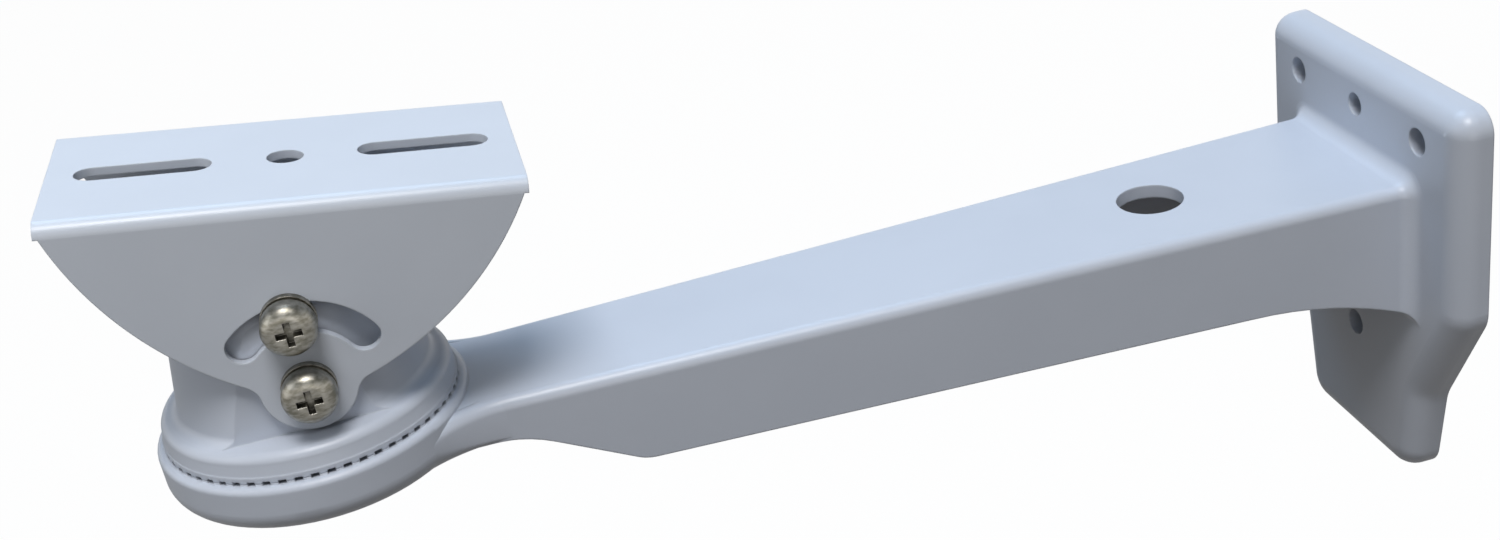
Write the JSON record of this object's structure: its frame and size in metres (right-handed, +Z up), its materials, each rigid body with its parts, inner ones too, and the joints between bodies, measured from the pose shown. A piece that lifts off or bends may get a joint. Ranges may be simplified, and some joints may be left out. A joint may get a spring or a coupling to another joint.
{
  "type": "camera wall bracket",
  "caption": "Cast wall arm with a serrated swivel joint and a tilting slotted saddle that a surveillance camera housing bolts to.",
  "frame": {"origin": "centre of the middle upper screw hole, on the plane of the wall plate's back", "axes": "+X straight out from the wall along the arm, +Z up, +Y to the right of someone who faces the wall"},
  "size_m": [0.3152, 0.09, 0.1555],
  "materials": {
    "casting_paint": "satin",
    "sheet_paint": "satin",
    "zinc_steel": "satin"
  },
  "bodies": {
    "arm": {"arm_casting": "casting_paint"},
    "swivel": {"swivel_base": "casting_paint", "pivot_flat_washer_near": "zinc_steel", "pivot_spring_washer_near": "zinc_steel", "pivot_screw_near": "zinc_steel", "pivot_flat_washer_far": "zinc_steel", "pivot_spring_washer_far": "zinc_steel", "pivot_screw_far": "zinc_steel", "lock_flat_washer_near": "zinc_steel", "lock_spring_washer_near": "zinc_steel", "lock_screw_near": "zinc_steel", "lock_flat_washer_far": "zinc_steel", "lock_spring_washer_far": "zinc_steel", "lock_screw_far": "zinc_steel", "swivel_flat_washer": "zinc_steel", "swivel_spring_washer": "zinc_steel", "swivel_bolt": "zinc_steel"},
    "saddle": {"saddle": "sheet_paint"}
  },
  "joints": [
    {"name": "pan", "type": "hinge", "parent": "arm", "child": "swivel", "pos_m": [0.275, 0, -0.0096], "axis": [0, 0, 1], "continuous": true},
    {"name": "tilt", "type": "hinge", "parent": "swivel", "child": "saddle", "pos_m": [0.2716, 0, 0.008], "axis": [0, -1, 0], "range_deg": [-50, 35]}
  ]
}
